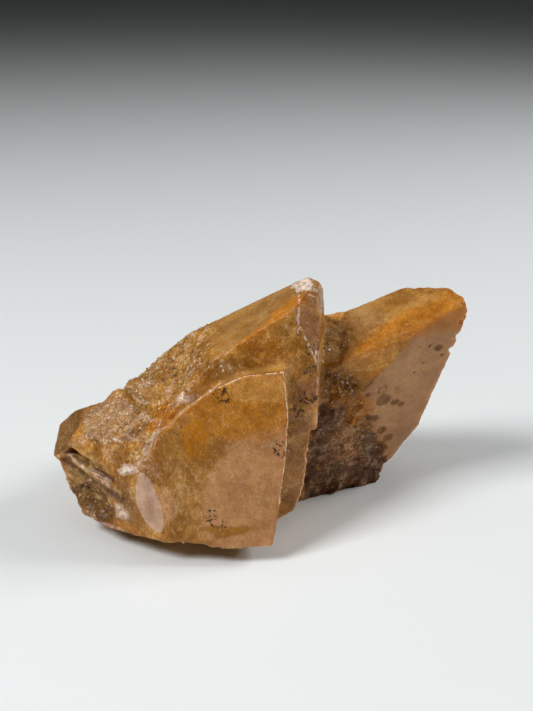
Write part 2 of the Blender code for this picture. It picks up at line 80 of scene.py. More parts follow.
raw = bpy.data.meshes.new("raw_skin")
solid.to_mesh(raw)
raw_stone = bpy.data.objects.new("raw_stone", raw)
bpy.context.scene.collection.objects.link(raw_stone)
even = raw_stone.modifiers.new("even skin", "REMESH")
even.mode = "VOXEL"
even.voxel_size = SKIN_STEP
graph = bpy.context.evaluated_depsgraph_get()
skin = bpy.data.meshes.new_from_object(raw_stone.evaluated_get(graph), depsgraph=graph)
bpy.data.objects.remove(raw_stone)
skin.name = "calcite_skin"

# The even skin comes with a few loose specks beside thin crumbs; they are taken off.
shell = bmesh.new()
shell.from_mesh(skin)
unseen = set(shell.verts)
specks = []
for start in shell.verts:
    if start not in unseen:
        continue
    unseen.remove(start)
    island = [start]
    for spot in island:
        for edge in spot.link_edges:
            other = edge.other_vert(spot)
            if other in unseen:
                unseen.remove(other)
                island.append(other)
    if len(island) < SPECK_POINTS:
        specks += island
bmesh.ops.delete(shell, geom=specks, context="VERTS")
shell.to_mesh(skin)
shell.free()


def read_points(mesh):
    spots = np.empty(len(mesh.vertices) * 3)
    mesh.vertices.foreach_get("co", spots)
    return spots.reshape(-1, 3)


def read_normals(mesh):
    facing = np.empty(len(mesh.vertices) * 3)
    mesh.vertex_normals.foreach_get("vector", facing)
    return facing.reshape(-1, 3)


def nearest_on_edges(points, lowest, highest):
    """Nearest spots on the solid's long edges whose fold lies between two angles, and how far."""
    marks, ends = [], []
    for edge in solid.edges:
        if len(edge.link_faces) != 2 or edge.calc_length() < LONG_EDGE:
            continue
        if lowest < edge.calc_face_angle_signed(0.0) < highest:
            first, last = edge.verts[0].co, edge.verts[1].co
            count = int(edge.calc_length() / EDGE_STEP) + 1
            marks += [(first.lerp(last, step / count), len(ends)) for step in range(count + 1)]
            ends.append((first[:], last[:]))
    tree = kdtree.KDTree(len(marks))
    for number, (spot, _) in enumerate(marks):
        tree.insert(spot, number)
    tree.balance()
    chosen = np.array([marks[tree.find(Vector(spot))[1]][1] for spot in points])
    first, last = np.array(ends)[chosen, 0], np.array(ends)[chosen, 1]
    line = last - first
    share = ((points - first) * line).sum(1) / (line * line).sum(1)
    nearest = first + np.clip(share, 0.0, 1.0)[:, None] * line
    return nearest, np.linalg.norm(points - nearest, axis=1)


def smooth(values, low, high):
    share = np.clip((values - low) / (high - low), 0.0, 1.0)
    return share * share * (3.0 - 2.0 * share)


def wave(points, grain, seed=0.0, octaves=3):
    """Soft noise from -1 to 1 whose largest lumps are a grain across."""
    shift = np.array((seed * 7.3, seed * -3.1, seed * 5.7))
    placed = points / grain + shift
    return np.array([noise.fractal(Vector(spot), 1.0, 2.0, octaves) for spot in placed])


def lumps(points, grain, seed=0.0):
    """Distance to the nearest cell middle: 0 in a lump's middle, about 0.6 at its rim."""
    shift = np.array((seed * 4.1, seed * 6.7, seed * -2.9))
    placed = points / grain + shift
    return np.array([noise.voronoi(Vector(spot))[0][0] for spot in placed])


spots = read_points(skin)
found = [faces_of_solid.find_nearest(Vector(spot)) for spot in spots]
spots = np.array([hit[0] for hit in found])
facet = np.array([hit[1] for hit in found])
on_edge, to_edge = nearest_on_edges(spots, OUTER_FOLD, math.pi)
in_groove, to_groove = nearest_on_edges(spots, -math.pi, INNER_FOLD)
spots = np.where((to_edge < EDGE_CATCH)[:, None], on_edge, spots)
spots = np.where((to_groove < EDGE_CATCH)[:, None], in_groove, spots)
to_edge = np.where(to_edge < EDGE_CATCH, 0.0, to_edge)
to_groove = np.where(to_groove < EDGE_CATCH, 0.0, to_groove)
skin.vertices.foreach_set("co", spots.ravel())
skin.update()
outward = read_normals(skin)

# Where each face and crust lies, in mm. A blob is a soft ball with three half widths.
ragged = np.stack([wave(spots, 6.0, seed, 3) for seed in (1.0, 2.0, 3.0)], axis=1)
loose = spots + 1.6 * ragged


def blob(middle, reach, soft=0.5, points=loose):
    far = np.linalg.norm((points - np.array(middle)) / np.array(reach), axis=1)
    return 1.0 - smooth(far, 1.0 - soft, 1.0 + soft)


def beyond(spot, way, soft, points=loose):
    way = np.array(way) / np.linalg.norm(way)
    return smooth((points - np.array(spot)) @ way, -soft, soft)


def along(path, reach, soft=0.5, points=loose):
    """A band around a line of spots; its half width may differ at the line's two ends."""
    path = np.array(path)
    widths = np.linspace(reach[0], reach[1], len(path))
    band = np.zeros(len(points))
    for first, last, narrow, wide in zip(path[:-1], path[1:], widths[:-1], widths[1:]):
        line = last - first
        share = np.clip((points - first) @ line / (line @ line), 0.0, 1.0)
        far = np.linalg.norm(points - first - share[:, None] * line, axis=1)
        width = narrow + (wide - narrow) * share
        band = np.maximum(band, 1.0 - smooth(far / width, 1.0 - soft, 1.0 + soft))
    return band


def facing(way, least=0.97):
    way = np.array(way) / np.linalg.norm(way)
    return smooth(facet @ way, least - 0.02, least + 0.01)


def most(*values):
    return np.maximum.reduce(values)


# The faces, each found by the way it points, and the other parts of the stone by their place.
ahead = spots @ np.array(BLADE_WAY)  # how far forward along the blade's own direction
blade_front = facing(BLADE_WAY) * smooth(ahead, 34.9, 35.6)
blade_front *= smooth(9.0 - spots[:, 0], 0.0, 1.0)
tall_front = facing(TALL_WAY, 0.985) * smooth(spots[:, 2], 28.0, 30.0)
tall_front *= smooth(34.9 - ahead, 0.0, 0.6)
tall_front *= 1.0 - smooth(spots[:, 0], 17.0, 18.0)
tall_top = facing((-0.46, -0.19, 0.87), 0.985)
tip_block = facing((0.54, -0.75, 0.39), 0.985)
tooth = smooth(spots[:, 0], 17.0, 19.0)
tooth_front = facing(TOOTH_WAY, 0.985)
seam = 27.4 + (40.0 - spots[:, 2]) * 0.36 + 3.2 * (lumps(spots, 4.2, 3.0) - 0.45)
seam += 2.2 * wave(spots, 4.0, 26.0, 4)
past_seam = smooth(loose[:, 0] - seam, -1.8, 2.8)
pale_face = facing((0.40, -0.88, -0.26)) * past_seam
low_side = smooth(spots[:, 0], 12.8, 13.8) * smooth(spots[:, 1], -18.2, -17.4)
low_side *= smooth(38.0 - spots[:, 2], 0.0, 3.0)
crust = most(tooth, low_side) * (1.0 - past_seam) * smooth(46.5 - loose[:, 2], 0.0, 4.0)
crust *= smooth(12.0 - spots[:, 1] + 0.25 * spots[:, 0], 0.0, 4.0)
shoulder = beyond((-13.0, -12.0, 55.0), (-1.0, 0.0, -0.6), 3.0) * facing((-0.55, -0.25, 0.78), 0.90)
shoulder *= smooth(spots[:, 0], -42.0, -36.0)
bronze = blob((-42.0, -15.5, 33.5), (10.0, 11.0, 6.0), 0.2)
den = blob((-47.5, -21.0, 11.5), (9.5, 7.0, 6.5), 0.3)
hidden = smooth(spots[:, 1], 8.0, 14.0) * smooth(58.0 - spots[:, 2], 0.0, 8.0)
under = smooth(-facet[:, 2], 0.35, 0.7)
broken = np.clip(most(hidden * 0.8, under), 0.0, 1.0)

# The milky break at the front left: the patch between two shallow arcs that meet in points.
from_break = spots - np.array((-29.6, -32.2, 16.8))
break_way = np.array((0.31, -0.28, -0.91))
down_break = from_break @ break_way
over_break = from_break - down_break[:, None] * break_way
lens_right = smooth(over_break[:, 0] + 0.5 * ragged[:, 0], 0.3, 3.2)
lens_fade = 1.0 - smooth(over_break[:, 0] + 0.6 * ragged[:, 2], 1.8, 4.2)
lens = 1.0 - (down_break / 9.6) ** 2 - np.linalg.norm(over_break, axis=1) / 4.6
lens = smooth(lens - 0.25 * lens_right * (1.0 + ragged[:, 1]), -0.04, 0.10 + 0.35 * lens_right)
lens *= smooth(-26.0 - spots[:, 1], 0.0, 1.0)

# Worn folds: there the skin is evened out, point by point towards its neighbours' middle.
joined = np.empty(len(skin.edges) * 2, int)
skin.edges.foreach_get("vertices", joined)
joined = np.concatenate((joined.reshape(-1, 2), joined.reshape(-1, 2)[:, ::-1]))
neighbours = np.bincount(joined[:, 0], minlength=len(spots))


def evened(points, share, rounds):
    for _ in range(rounds):
        there = points[joined[:, 1]]
        sums = [np.bincount(joined[:, 0], there[:, axis], len(points)) for axis in range(3)]
        points = points + share[:, None] * (np.stack(sums, axis=1) / neighbours[:, None] - points)
    return points


crisp = most(
    0.55 * hidden,
    blob((-10.0, -31.0, 28.0), (19.5, 12.0, 32.0), 0.1, spots),
    along([(16.5, -17.0, 52.0), (16.0, -20.0, 38.0), (12.5, -18.5, 8.0)], (3.5, 3.0), 0.2, spots),
    along([(23.0, -6.5, 49.2), (40.0, -0.5, 56.8), (53.0, 1.0, 60.5)], (2.5, 2.5), 0.3, spots),
    along([(12.0, -12.0, 66.0), (-5.0, -18.0, 57.0)], (2.5, 2.5), 0.3, spots),
    blob((13.5, -12.0, 61.0), (5.5, 6.0, 9.5), 0.2, spots),
    lens,
)
spots = evened(spots, 0.5 * (1.0 - crisp) * smooth(spots[:, 2], 0.5, 3.0), WORN_ROUNDS)
skin.vertices.foreach_set("co", spots.ravel())
skin.update()
outward = read_normals(skin)

# Relief, in mm outwards.
chip_noise = wave(spots, 2.3, 5.0, 3)
chips = smooth(0.8 + 0.9 * chip_noise - to_edge, 0.0, 1.0) * smooth(chip_noise, 0.0, 0.5)
worn_edge = most(
    np.full(len(spots), 0.25),
    1.5 * along([(10.0, -3.0, 70.5), (13.5, -5.5, 71.0), (17.5, -5.0, 65.0)], (4.0, 3.0)),
    1.8 * along([(58.0, 2.0, 60.0), (55.5, 2.0, 52.0)], (3.0, 3.0)),
    along([(53.0, 2.0, 47.0), (40.0, 4.0, 14.0)], (2.5, 2.5)),
    along(
        [(13.4, -21.4, 33.7), (8.4, -22.7, 31.3), (13.4, -19.5, 27.0), (8.8, -18.3, 6.0)],
        (2.0, 2.0),
    ),
    0.8 * hidden,
)
relief = 0.06 * wave(spots, 9.0, 6.0, 3) + 0.03 * wave(spots, 2.0, 7.0, 2)
relief -= CHIP_DEPTH * chips * worn_edge
crumbly = 1.0 - np.minimum(lumps(spots, 3.1, 1.0) * 1.5, 1.0)
grains = 1.0 - np.minimum(lumps(spots, 1.5, 2.0) * 1.5, 1.0)
crust_lumps = 1.05 * (crumbly - 0.45) + 0.20 * (grains - 0.4) + 0.9 * wave(spots, 6.0, 8.0, 4)
relief += crust * (crust_lumps - 0.45)
relief += shoulder * (0.16 * (grains - 0.4) + 0.42 * wave(spots, 3.2, 9.0, 4))
relief += bronze * (0.10 * (grains - 0.4) + 0.20 * wave(spots, 2.6, 10.0, 3))
relief += den * (0.45 * (crumbly - 0.5) + 0.45 * wave(spots, 2.8, 11.0, 4))
back_way = np.array((-0.42, 0.30, 0.86))  # across the cleavage steps of the broken back
back_stairs = ((spots @ back_way + 1.3 * ragged[:, 1]) / BACK_STEP_WIDTH) % 1.0
back_crust = hidden * smooth(wave(spots, 14.0, 22.0, 3), -0.05, 0.25)
relief += broken * (0.55 * wave(spots, 8.0, 12.0, 5) + 0.30 * (crumbly - 0.5))
back_steps = smooth(back_stairs, 0.0, 0.16) * (1.0 - back_stairs) - 0.4
relief += hidden * (1.0 - back_crust) * BACK_STEP_HEIGHT * back_steps
relief += back_crust * (0.9 * (crumbly - 0.45) + 0.20 * (grains - 0.4))

# The two grooves beside the bench: one along its lower side, one in the fold over it.
low_groove = along(
    [(-56.5, -16.2, 21.4), (-51.7, -19.7, 20.0), (-47.9, -22.9, 18.4), (-39.6, -28.6, 16.6)],
    (0.8, 1.0), 0.5, spots,
)
relief -= LOW_GROOVE_DEPTH * low_groove
bench_groove = along(
    [(-57.0, -14.5, 25.0), (-48.3, -18.9, 22.0), (-41.5, -25.3, 20.0)],
    (1.3, 1.0), 0.5, spots,
)
relief -= BENCH_GROOVE_DEPTH * bench_groove * smooth(1.2 - to_groove, 0.0, 1.0)

# The pits in the tooth's pale face: each one's place and half width.
pit_spots = [
    (51.7, 0.8, 49.3, 1.3), (49.0, -0.4, 50.5, 0.5), (53.4, 1.6, 46.5, 0.6),
    (36.0, -1.8, 33.9, 2.4), (39.9, 0.5, 32.2, 1.4), (42.0, 1.2, 31.0, 1.0),
    (45.0, 1.4, 42.0, 0.5), (36.5, 2.5, 22.0, 1.5), (39.0, 3.4, 18.5, 1.6),
    (36.5, 3.6, 16.3, 1.8), (34.0, -0.6, 27.5, 1.4), (47.6, 0.3, 45.0, 0.4),
    (31.0, -4.0, 37.0, 0.9),
]
uneven = spots + 0.35 * ragged
pits = most(
    *[blob((x, y, z), (wide, 3.0, 0.8 * wide), 0.45, uneven) for x, y, z, wide in pit_spots]
)
relief -= PIT_DEPTH * pits

# The cleavage steps under the bench, and the recess between the tall crystal and the tooth.
stair_way = np.array((0.36, 0.20, 0.91))  # across the steps
stairs = ((spots @ stair_way + 0.8 * ragged[:, 0]) / STEP_WIDTH) % 1.0
stepped = blob((-49.0, -20.0, 17.0), (11.0, 7.0, 8.0), 0.4)
relief += stepped * STEP_HEIGHT * (stairs - 0.5)
recess = blob((21.5, 2.0, 51.0), (4.5, 9.0, 4.5), 0.3, spots)
relief += recess * (0.5 * wave(spots, 2.6, 15.0, 3) + 0.25 * (grains - 0.4))

# Three soft swellings on the bronze block's back edge, and the nicks in the tooth's right edge.
relief += 1.3 * blob((-31.0, -10.0, 46.0), (4.5, 7.0, 4.0), 0.6, spots)
relief += 2.6 * blob((-38.0, -7.5, 38.5), (5.5, 5.0, 5.0), 0.6, spots)
relief += 1.5 * blob((-35.3, -7.5, 40.5), (3.8, 5.0, 3.2), 0.6, spots)
for nick in ((58.3, 1.2, 57.0), (57.3, 2.2, 52.2), (56.4, 3.4, 47.5)):
    relief -= NICK_DEPTH * blob(nick, (1.1, 3.0, 1.0), 0.4, spots + 0.3 * ragged)
carved = spots + outward * relief[:, None]

# Painted shade: where a point lies in a hollow that little light reaches, the stone is painted
# darker and redder: the crust's hollows, the grooves, the cavity and steps under the bench and the
# shaded right side of the tall crystal. The same values also darken the grey facet and the small
# block under the tip, an oval low on the front left and the bottom of the tooth's pale face.
warm_seam = most(
    blob((28.5, -3.0, 31.0), (4.6, 6.0, 8.0), 0.6),
    blob((24.0, -8.0, 38.5), (5.0, 5.0, 5.5), 0.6),
)
low_crust = blob((26.0, -2.0, 19.0), (6.5, 8.0, 8.0), 0.5)
grey_facet = facing((-0.62, -0.44, 0.65), 0.97) * smooth(-50.0 - loose[:, 0], 0.0, 2.0)
hollow_shade = smooth(-relief, -0.1, 0.7) * most(
    0.7 * crust * (1.0 - 0.7 * low_crust) * (1.0 - 0.5 * warm_seam),
    0.8 * shoulder,
    0.8 * bronze,
    den,
    stepped,
    0.5 * recess,
    0.8 * back_crust,
)
shade_and_dark_tone = most(
    hollow_shade,
    0.60 * grey_facet,
    0.36 * tip_block,
    0.45 * blob((13.4, -18.3, 46.5), (3.6, 4.0, 7.0), 0.6),
    along(
        [(-56.5, -16.2, 21.4), (-51.7, -19.7, 20.0), (-47.9, -22.9, 18.2), (-39.6, -28.6, 16.2)],
        (1.1, 1.7), 0.5,
    ),
    0.95 * along(
        [(-57.0, -14.8, 24.6), (-51.5, -18.0, 23.4), (-42.0, -25.0, 20.6)],
        (0.8, 0.8), 0.5,
    ),
    0.90 * bench_groove * smooth(1.3 - to_groove, 0.0, 1.2),
    0.55 * stepped * smooth(0.28 - stairs, 0.0, 0.12),
    1.00 * blob((-48.0, -19.5, 9.0), (4.5, 5.0, 3.0), 0.5),
    0.95 * blob((-43.5, -24.3, 8.3), (4.0, 4.0, 2.2), 0.5),
    0.90 * den * smooth(0.15 - wave(loose, 2.6, 13.0, 3), -0.25, 0.25),
    0.60 * stepped * smooth(0.45 - stairs, 0.0, 0.2),
    0.26 * blob((-36.8, -29.5, 13.5), (4.5, 5.0, 8.0), 0.7),
    0.22 * past_seam * tooth * smooth(30.0 - loose[:, 2], 0.0, 12.0),
)

# The foot stays flat on the table, and nothing beside it comes down to the table.
in_foot = spots[:, 2] < FOOT_HEIGHT
carved[:, 2] = np.where(in_foot, np.maximum(spots[:, 2], 0.0), np.maximum(carved[:, 2], 0.05))

blade_top = along(
    [
        (-20.9, -27.4, 41.6), (-13.6, -26.0, 46.5), (-7.5, -25.0, 49.4),
        (-0.6, -24.3, 51.6), (6.6, -24.1, 51.8),
    ],
    (1.5, 1.5), 0.3, spots,
)
blade_right = along(
    [
        (6.8, -24.1, 51.8), (7.8, -25.6, 45.6), (7.8, -27.9, 36.9),
        (6.8, -30.5, 27.4), (5.6, -32.9, 18.0),
    ],
    (1.4, 1.4), 0.3, spots,
)

# What the finish is mixed from, one value for each point of the skin.
# Partly the ridges' own amber, partly painted glow: light shining through the thin ridges of the
# tall crystal and the tooth.
ridge_glow = along([(9.5, -11.0, 68.0), (2.0, -15.5, 62.5), (-12.0, -19.5, 55.0)], (2.8, 0.6))
tooth_glow = along([(23.0, -6.5, 49.2), (40.0, -0.5, 56.8), (58.0, 2.0, 62.5)], (0.9, 8.0), 0.4)
blush_ball = blob((8.0, -29.0, 14.0), (24.5, 24.5, 24.5), 0.17)
amber = most(
    1.00 * blob((-17.5, -28.8, 34.4), (3.4, 5.0, 5.2), 0.6),
    0.85 * blob((-2.7, -26.0, 44.3), (4.5, 4.0, 2.6), 0.6),
    0.62 * blob((-6.0, -27.0, 42.5), (19.0, 7.0, 10.0), 0.4) * blade_front,
    0.55 * blob((3.0, -26.5, 44.0), (7.0, 6.0, 8.0), 0.5) * blade_front,
    0.95 * ridge_glow,
    0.65 * tooth_glow,
    0.95 * blob((32.6, -5.9, 49.8), (4.5, 5.0, 3.0), 0.7),
    0.80 * warm_seam,
    0.50 * hidden * smooth(wave(spots, 6.0, 23.0, 4), 0.0, 0.4),
    0.72 * tooth_front * smooth(spots[:, 2], 40.0, 44.0) * tooth,
    0.50 * blob((23.0, 13.0, 55.5), (3.0, 5.0, 2.5), 0.5),
    0.85 * blob((-27.0, -23.5, 39.5), (5.0, 5.0, 4.5), 0.4),
    0.60 * blob((-52.0, -17.0, 29.6), (3.0, 3.0, 2.0), 0.4),
    0.65 * along([(16.4, -6.0, 66.0), (16.8, -8.5, 57.0)], (0.7, 0.9), 0.4),
    0.50 * smooth(7.0 - loose[:, 2], 0.0, 4.0) * blade_front,
    0.50 * blob((-38.0, -28.0, 7.0), (12.0, 7.0, 2.6), 0.5),
    0.55 * blob((25.0, -5.0, 45.0), (7.0, 5.0, 4.0), 0.5),
    0.35 * recess,
    0.65 * tall_front * blob((-1.0, -14.0, 56.0), (11.0, 8.0, 6.0), 0.5),
    0.55 * lens * smooth(over_break[:, 0], 1.0, 3.0) * lens_fade,
    0.55 * blob((13.2, -18.5, 22.0), (2.2, 5.0, 14.0), 0.5),
)
gold = most(
    0.90 * blob((3.0, -25.2, 47.4), (4.2, 3.0, 2.4), 0.6),
    0.75 * blob((0.0, -25.0, 47.5), (10.0, 4.0, 5.0), 0.5) * blade_front,
    0.90 * blob((-50.3, -18.2, 27.6), (4.2, 4.0, 3.4), 0.4),
    0.70 * den * smooth(wave(spots, 2.6, 25.0, 3), 0.05, 0.4),
    0.80 * blob((22.5, 12.8, 55.8), (3.0, 5.0, 2.6), 0.5),
    0.55 * tooth_front * smooth(spots[:, 2], 42.0, 46.0) * tooth,
    0.45 * bronze * smooth(wave(spots, 3.0, 17.0, 3), 0.0, 0.4),
    0.70 * tall_front * smooth(wave(spots, 2.8, 20.0, 3), -0.1, 0.4),
    0.60 * crust * blob((24.0, -5.0, 40.0), (8.0, 6.0, 6.5), 0.6) * smooth(grains, 0.4, 0.7),
    0.40 * shoulder * smooth(wave(spots, 3.5, 18.0, 3), 0.0, 0.4),
    0.20 * tall_top * blob((4.0, -8.0, 64.0), (10.0, 8.0, 6.0), 0.5),
)
olive = most(
    0.70 * blob((-40.2, -27.7, 17.8), (3.0, 3.0, 3.0), 0.6),
    den,
    0.80 * stepped,
    0.50 * shoulder * (1.0 - blob((-27.0, -23.5, 39.5), (7.0, 7.0, 6.5), 0.4)),
    0.27 * tall_front,
    0.32 * tall_top,
    0.70 * grey_facet,
    0.60 * recess,
    0.40 * bronze,
    0.45 * blob((30.0, 9.0, 57.0), (9.0, 13.0, 4.0), 0.5),
)
blush = most(
    0.85 * blob((-25.4, -33.5, 16.8), (2.4, 4.0, 6.0), 0.5),
    blade_front * blush_ball,
    pale_face,
    0.45 * blob((10.3, -19.4, 18.0), (5.5, 6.0, 15.0), 0.3) * (1.0 - blade_front),
    0.7 * blob((13.5, -20.0, 40.0), (6.0, 6.0, 12.0), 0.4) * tall_front,
    0.9 * lens * lens_right * lens_fade,
    0.75 * crust * blob((26.0, -3.0, 18.5), (5.0, 7.0, 8.0), 0.6),
    0.50 * back_crust,
    0.75 * tip_block,
    0.4 * blob((30.0, 5.0, 55.0), (12.0, 13.0, 5.0), 0.5),
)
milk = most(
    0.95 * lens * (1.0 - 0.75 * lens_right) * lens_fade,
    0.95 * blob((-36.0, -27.6, 25.2), (3.0, 3.6, 1.9), 0.4),
    # Painted highlight: the faint whitish patch above the milky break stands in for the glassy
    # sheen there.
    0.35 * blob((-30.5, -30.0, 27.0), (5.0, 4.0, 3.5), 0.5),
    0.75 * along(
        [(-28.2, -27.2, 35.3), (-30.0, -28.2, 32.0), (-33.6, -29.2, 27.0)],
        (0.6, 0.9), 0.4,
    ),
    0.90 * along([(-51.0, -20.5, 8.5), (-45.5, -24.6, 6.3), (-39.0, -29.0, 6.5)], (0.9, 1.3), 0.5),
    0.60 * along(
        [(-54.5, -16.3, 22.9), (-48.3, -20.0, 20.8), (-42.5, -25.2, 18.8)],
        (0.8, 0.9), 0.5,
    ),
    0.40 * blob((-40.2, -27.7, 17.8), (2.5, 3.0, 2.5), 0.6),
    0.46 * shoulder * smooth(wave(spots, 4.0, 16.0, 3), -0.1, 0.4),
    0.38 * bronze,
    0.42 * blob((-50.3, -18.2, 28.1), (3.0, 3.0, 2.2), 0.5),
    0.38 * blob((-41.1, -23.8, 27.2), (5.0, 4.0, 3.0), 0.5),
    0.45 * hidden * smooth(wave(spots, 7.0, 24.0, 4), 0.05, 0.4),
    0.95 * blob((-20.4, -23.6, 44.4), (2.4, 3.0, 1.2), 0.4),
    0.60 * blob((-10.9, -20.1, 53.2), (1.3, 2.0, 1.0), 0.5),
    0.95 * blob((-38.8, -27.6, 11.4), (2.3, 3.0, 2.2), 0.5),
    0.35 * blob((-45.5, -24.0, 7.0), (5.0, 3.0, 1.2), 0.5),
    0.50 * blob((-52.6, -17.4, 27.6), (1.0, 2.0, 1.6), 0.5),
)
# Painted shadow: the strip of the tall crystal just behind the blade's top edge is painted darker,
# as that edge shades it.
shadow_behind_blade = blade_top * (1.0 - blade_front) * smooth(ahead, 31.0, 32.5)
deep = most(
    0.85 * shadow_behind_blade,
    0.40 * tall_front * smooth(8.0 - loose[:, 0], -3.0, 3.0),
    0.25 * tall_front * smooth(wave(spots, 5.0, 21.0, 4), -0.2, 0.4),
    0.30 * den,
    0.32 * blob((10.3, -19.4, 18.0), (6.5, 6.0, 17.0), 0.3) * (1.0 - blade_front),
    0.60 * blob((-17.0, -29.5, 33.0), (2.6, 4.0, 3.4), 0.6),
    0.95 * blob((-9.0, -34.5, 10.0), (7.5, 4.0, 1.7), 0.6),
    0.70 * blob((-24.0, -34.5, 8.5), (4.5, 4.0, 2.0), 0.6),
    0.25 * blob((-27.0, -23.5, 39.5), (5.5, 5.0, 5.0), 0.4),
    0.95 * blob((24.0, -5.0, 43.5), (8.0, 6.0, 5.5), 0.5),
    0.42 * recess,
    0.30 * shoulder,
    0.30 * bronze,
)
smoke = most(
    0.5 * blade_top * smooth(1.5 - to_edge, 0.0, 0.5) * blade_front,
    0.45 * bronze,
    0.30 * shoulder,
    0.6 * tip_block,
    0.90 * grey_facet,
    0.50 * blob((-36.8, -29.5, 13.5), (4.5, 5.0, 8.0), 0.7),
    0.40 * blob((3.0, -17.6, 54.0), (6.0, 4.0, 3.5), 0.6) * tall_front,
    0.45 * tall_top * smooth(loose[:, 0], -30.0, -8.0),
    0.45 * blob((30.0, 9.0, 57.0), (9.0, 13.0, 4.0), 0.5),
    0.40 * blob((-21.0, -29.5, 20.0), (8.0, 4.0, 11.0), 0.5),
    0.60 * blob((-50.0, -17.5, 23.2), (9.0, 5.0, 2.2), 0.4),
    0.45 * past_seam * tooth * smooth(30.0 - loose[:, 2], 0.0, 12.0),
    0.4 * broken,
)
# The bevels and breaks that went white.
frost = most(
    0.75 * blade_top,
    0.95 * blade_right,
    0.70 * along(
        [(-27.5, -27.4, 35.5), (-29.6, -28.2, 33.0), (-33.5, -29.2, 27.0)],
        (1.6, 1.6), 0.3, spots,
    ),
    1.00 * blob((12.0, -4.5, 70.8), (5.0, 4.5, 3.0), 0.3, spots),
    0.80 * along(
        [(16.0, -4.0, 69.0), (17.6, -4.0, 65.5), (17.8, -6.0, 56.0)],
        (1.5, 1.5), 0.3, spots,
    ),
    0.85 * along(
        [
            (9.8, -9.5, 68.5), (11.0, -13.5, 64.0), (11.5, -15.5, 60.0),
            (16.0, -16.5, 53.5), (17.3, -12.0, 52.0),
        ],
        (1.5, 1.5), 0.3, spots,
    ),
    0.60 * along(
        [(15.9, -17.1, 51.0), (16.2, -19.2, 41.8), (15.2, -20.5, 36.9), (8.4, -22.7, 30.8)],
        (1.3, 1.3), 0.3, spots,
    ),
    0.85 * along(
        [(13.6, -19.1, 27.9), (12.6, -18.1, 16.2), (9.0, -18.1, 5.6)],
        (1.4, 1.4), 0.3, spots,
    ),
    0.25 * along([(-60.0, -10.5, 25.1), (-57.0, -15.0, 24.2)], (1.5, 1.5), 0.3, spots),
    0.45 * along(
        [(-54.0, -16.0, 29.0), (-51.0, -18.5, 26.5), (-41.0, -24.5, 27.0)],
        (1.2, 1.2), 0.3, spots,
    ),
)
chalk = most(
    0.56 * blob((11.5, -4.5, 71.0), (5.0, 5.0, 2.6), 0.5),
    0.62 * blob((-36.0, -27.6, 25.4), (2.4, 3.0, 1.3), 0.6),
    0.50 * blob((-20.2, -23.6, 44.5), (1.8, 2.5, 0.9), 0.6),
    0.66 * blob((-40.2, -22.9, 31.2), (1.3, 1.5, 1.0), 0.6),
    0.50 * blob((-38.8, -27.6, 11.4), (1.8, 3.0, 1.6), 0.6),
)
# Painted glints: where pale dots stand in for light sparkling on little facets.
painted_glints = most(
    0.9 * blob((-13.0, -20.0, 49.5), (7.0, 8.0, 5.0), 0.5) * (1.0 - blade_front),
    0.75 * shoulder,
    0.9 * blade_top,
    0.35 * blob((-28.0, -31.0, 26.0), (5.0, 4.0, 4.0), 0.5),
    0.15 * blade_front,
    0.3 * tip_block,
    0.7 * bronze,
    0.6 * blob((24.0, -5.0, 45.0), (5.0, 6.0, 4.0), 0.5),
    0.3 * den,
)
dark = most(
    crust
    * (
        1.0
        - 0.8 * blob((24.0, -5.0, 41.0), (9.0, 6.0, 6.5), 0.6)
        - 0.6 * low_crust
        - 0.9 * warm_seam
    ),
    0.45 * tall_front * smooth(wave(spots, 2.4, 19.0, 4), 0.10, 0.4),
    0.70 * back_crust,
    0.40 * grey_facet,
    0.35 * tip_block,
    # Painted shade: a dark line on the shaded side beside the tall crystal's right edge, where it
    # meets the tooth.
    0.85 * along(
        [(17.6, -9.0, 51.0), (17.6, -12.0, 35.0), (14.5, -18.0, 30.0)],
        (1.5, 1.5), 0.5, spots,
    ),
    0.55 * along([(-51.5, -10.5, 33.0), (-55.0, -14.5, 28.0)], (0.6, 0.6), 0.5),
)
# Black mineral grew in branches like moss: each patch's place and half width.
moss_spots = [
    (-10.2, -25.9, 46.0, 2.4), (6.1, -29.3, 31.6, 2.6), (-12.9, -34.5, 13.4, 2.6),
    (-9.5, -34.5, 12.0, 1.4), (10.9, -20.4, 39.0, 2.2), (13.7, -19.4, 42.5, 2.4),
    (13.0, -18.0, 50.0, 1.6), (15.0, -15.8, 55.5, 1.6), (-22.0, -28.6, 37.3, 1.3),
    (-10.0, -10.0, 59.5, 1.4), (-24.5, -12.0, 46.6, 1.0), (-8.0, -36.0, 4.6, 0.8),
]
moss = most(*[blob((x, y, z), (wide, 3.0, wide), 0.5) for x, y, z, wide in moss_spots])
grainy = most(
    crust,
    0.75 * shoulder,
    0.8 * bronze,
    0.55 * den,
    0.7 * recess,
    0.4 * broken,
    back_crust,
)
calm = most(
    pale_face,
    0.6 * tooth_front * smooth(spots[:, 2], 40.0, 44.0) * tooth,
    0.5 * blade_front,
    0.7 * blade_front * blush_ball,
    0.2 * tall_front,
    0.6 * smooth(facet[:, 2], 0.80, 0.86) * (1.0 - shoulder),
    lens,
)
streaked = blob((-22.0, -32.0, 17.0), (9.0, 6.0, 12.0), 0.4) * blade_front

skin.vertices.foreach_set("co", (carved * MM).ravel())
skin.update()
for name, values in (
    ("amber", amber),
    ("blush", blush),
    ("milk", milk),
    ("smoke", smoke),
    ("gold", gold),
    ("olive", olive),
    ("shade_and_dark_tone", shade_and_dark_tone),
    ("deep", deep),
    ("chalk", chalk),
    ("frost", frost),
    ("painted_glints", painted_glints),
    ("dark", dark),
    ("pits", pits),
    ("moss", moss),
    ("grainy", grainy),
    ("streaked", streaked),
    ("calm", calm),
    ("edge", to_edge / 3.0),
):
    layer = skin.attributes.new(name, "FLOAT", "POINT")
    layer.data.foreach_set("value", np.clip(values, 0.0, 1.0))
skin.polygons.foreach_set("use_smooth", np.ones(len(skin.polygons), bool))

stone = bpy.data.objects.new("calcite_stone", skin)
bpy.context.scene.collection.objects.link(stone)


